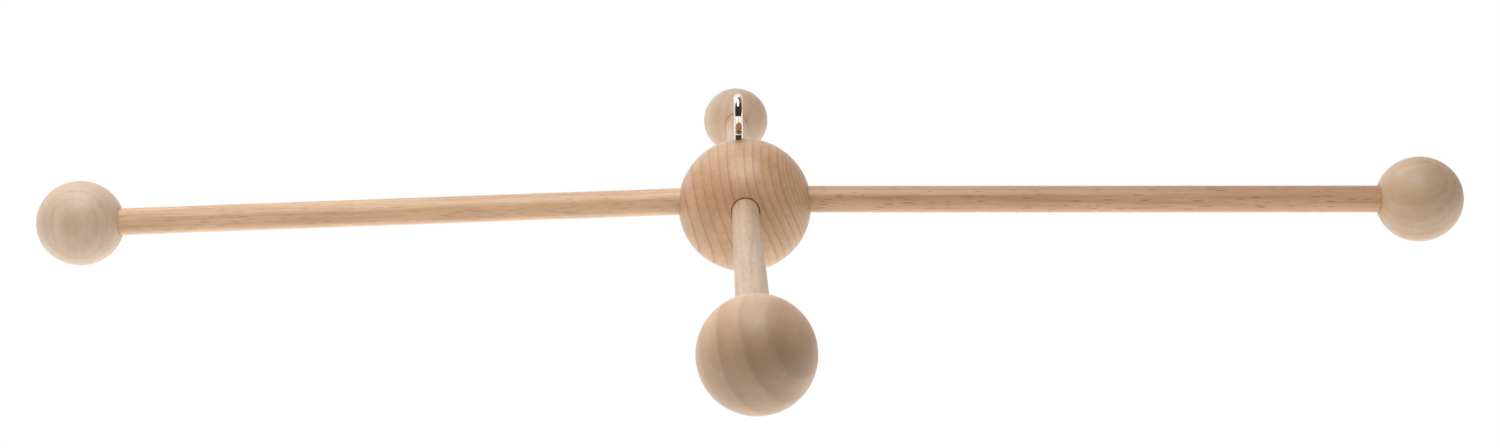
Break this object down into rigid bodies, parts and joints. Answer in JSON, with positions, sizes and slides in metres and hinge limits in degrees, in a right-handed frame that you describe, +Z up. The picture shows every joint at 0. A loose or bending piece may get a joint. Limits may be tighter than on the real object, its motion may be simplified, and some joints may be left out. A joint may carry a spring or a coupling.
{
  "type": "wooden mobile hanger",
  "caption": "Wooden cross-shaped hanger for a mobile: dowel arms set in a hub ball, a turned ball on each tip, and a steel screw eye on top that it hangs by.",
  "frame": {"origin": "inside crown of the screw eye's ring, the point where a hook or a cord bears when the hanger hangs", "axes": "+Z up, +X to the right along the right arm, +Y to the back along the back arm; the ring of the eye lies in the YZ plane"},
  "size_m": [0.5291, 0.5292, 0.0669],
  "materials": {
    "hub_wood": "turned and finely sanded, with growth rings showing, thin satin oil",
    "ball_wood": "turned and finely sanded pale wood, thin satin oil",
    "dowel_wood": "smooth beech dowel with short dark flecks along it",
    "plated_steel": "bright plated wire"
  },
  "bodies": {
    "root": {"hub_ball": "hub_wood", "arm_rod_right": "dowel_wood", "arm_rod_back": "dowel_wood", "arm_rod_left": "dowel_wood", "arm_rod_front": "dowel_wood", "end_ball_right": "ball_wood", "end_ball_back": "ball_wood", "end_ball_left": "ball_wood", "end_ball_front": "ball_wood", "screw_eye": "plated_steel"}
  },
  "joints": []
}
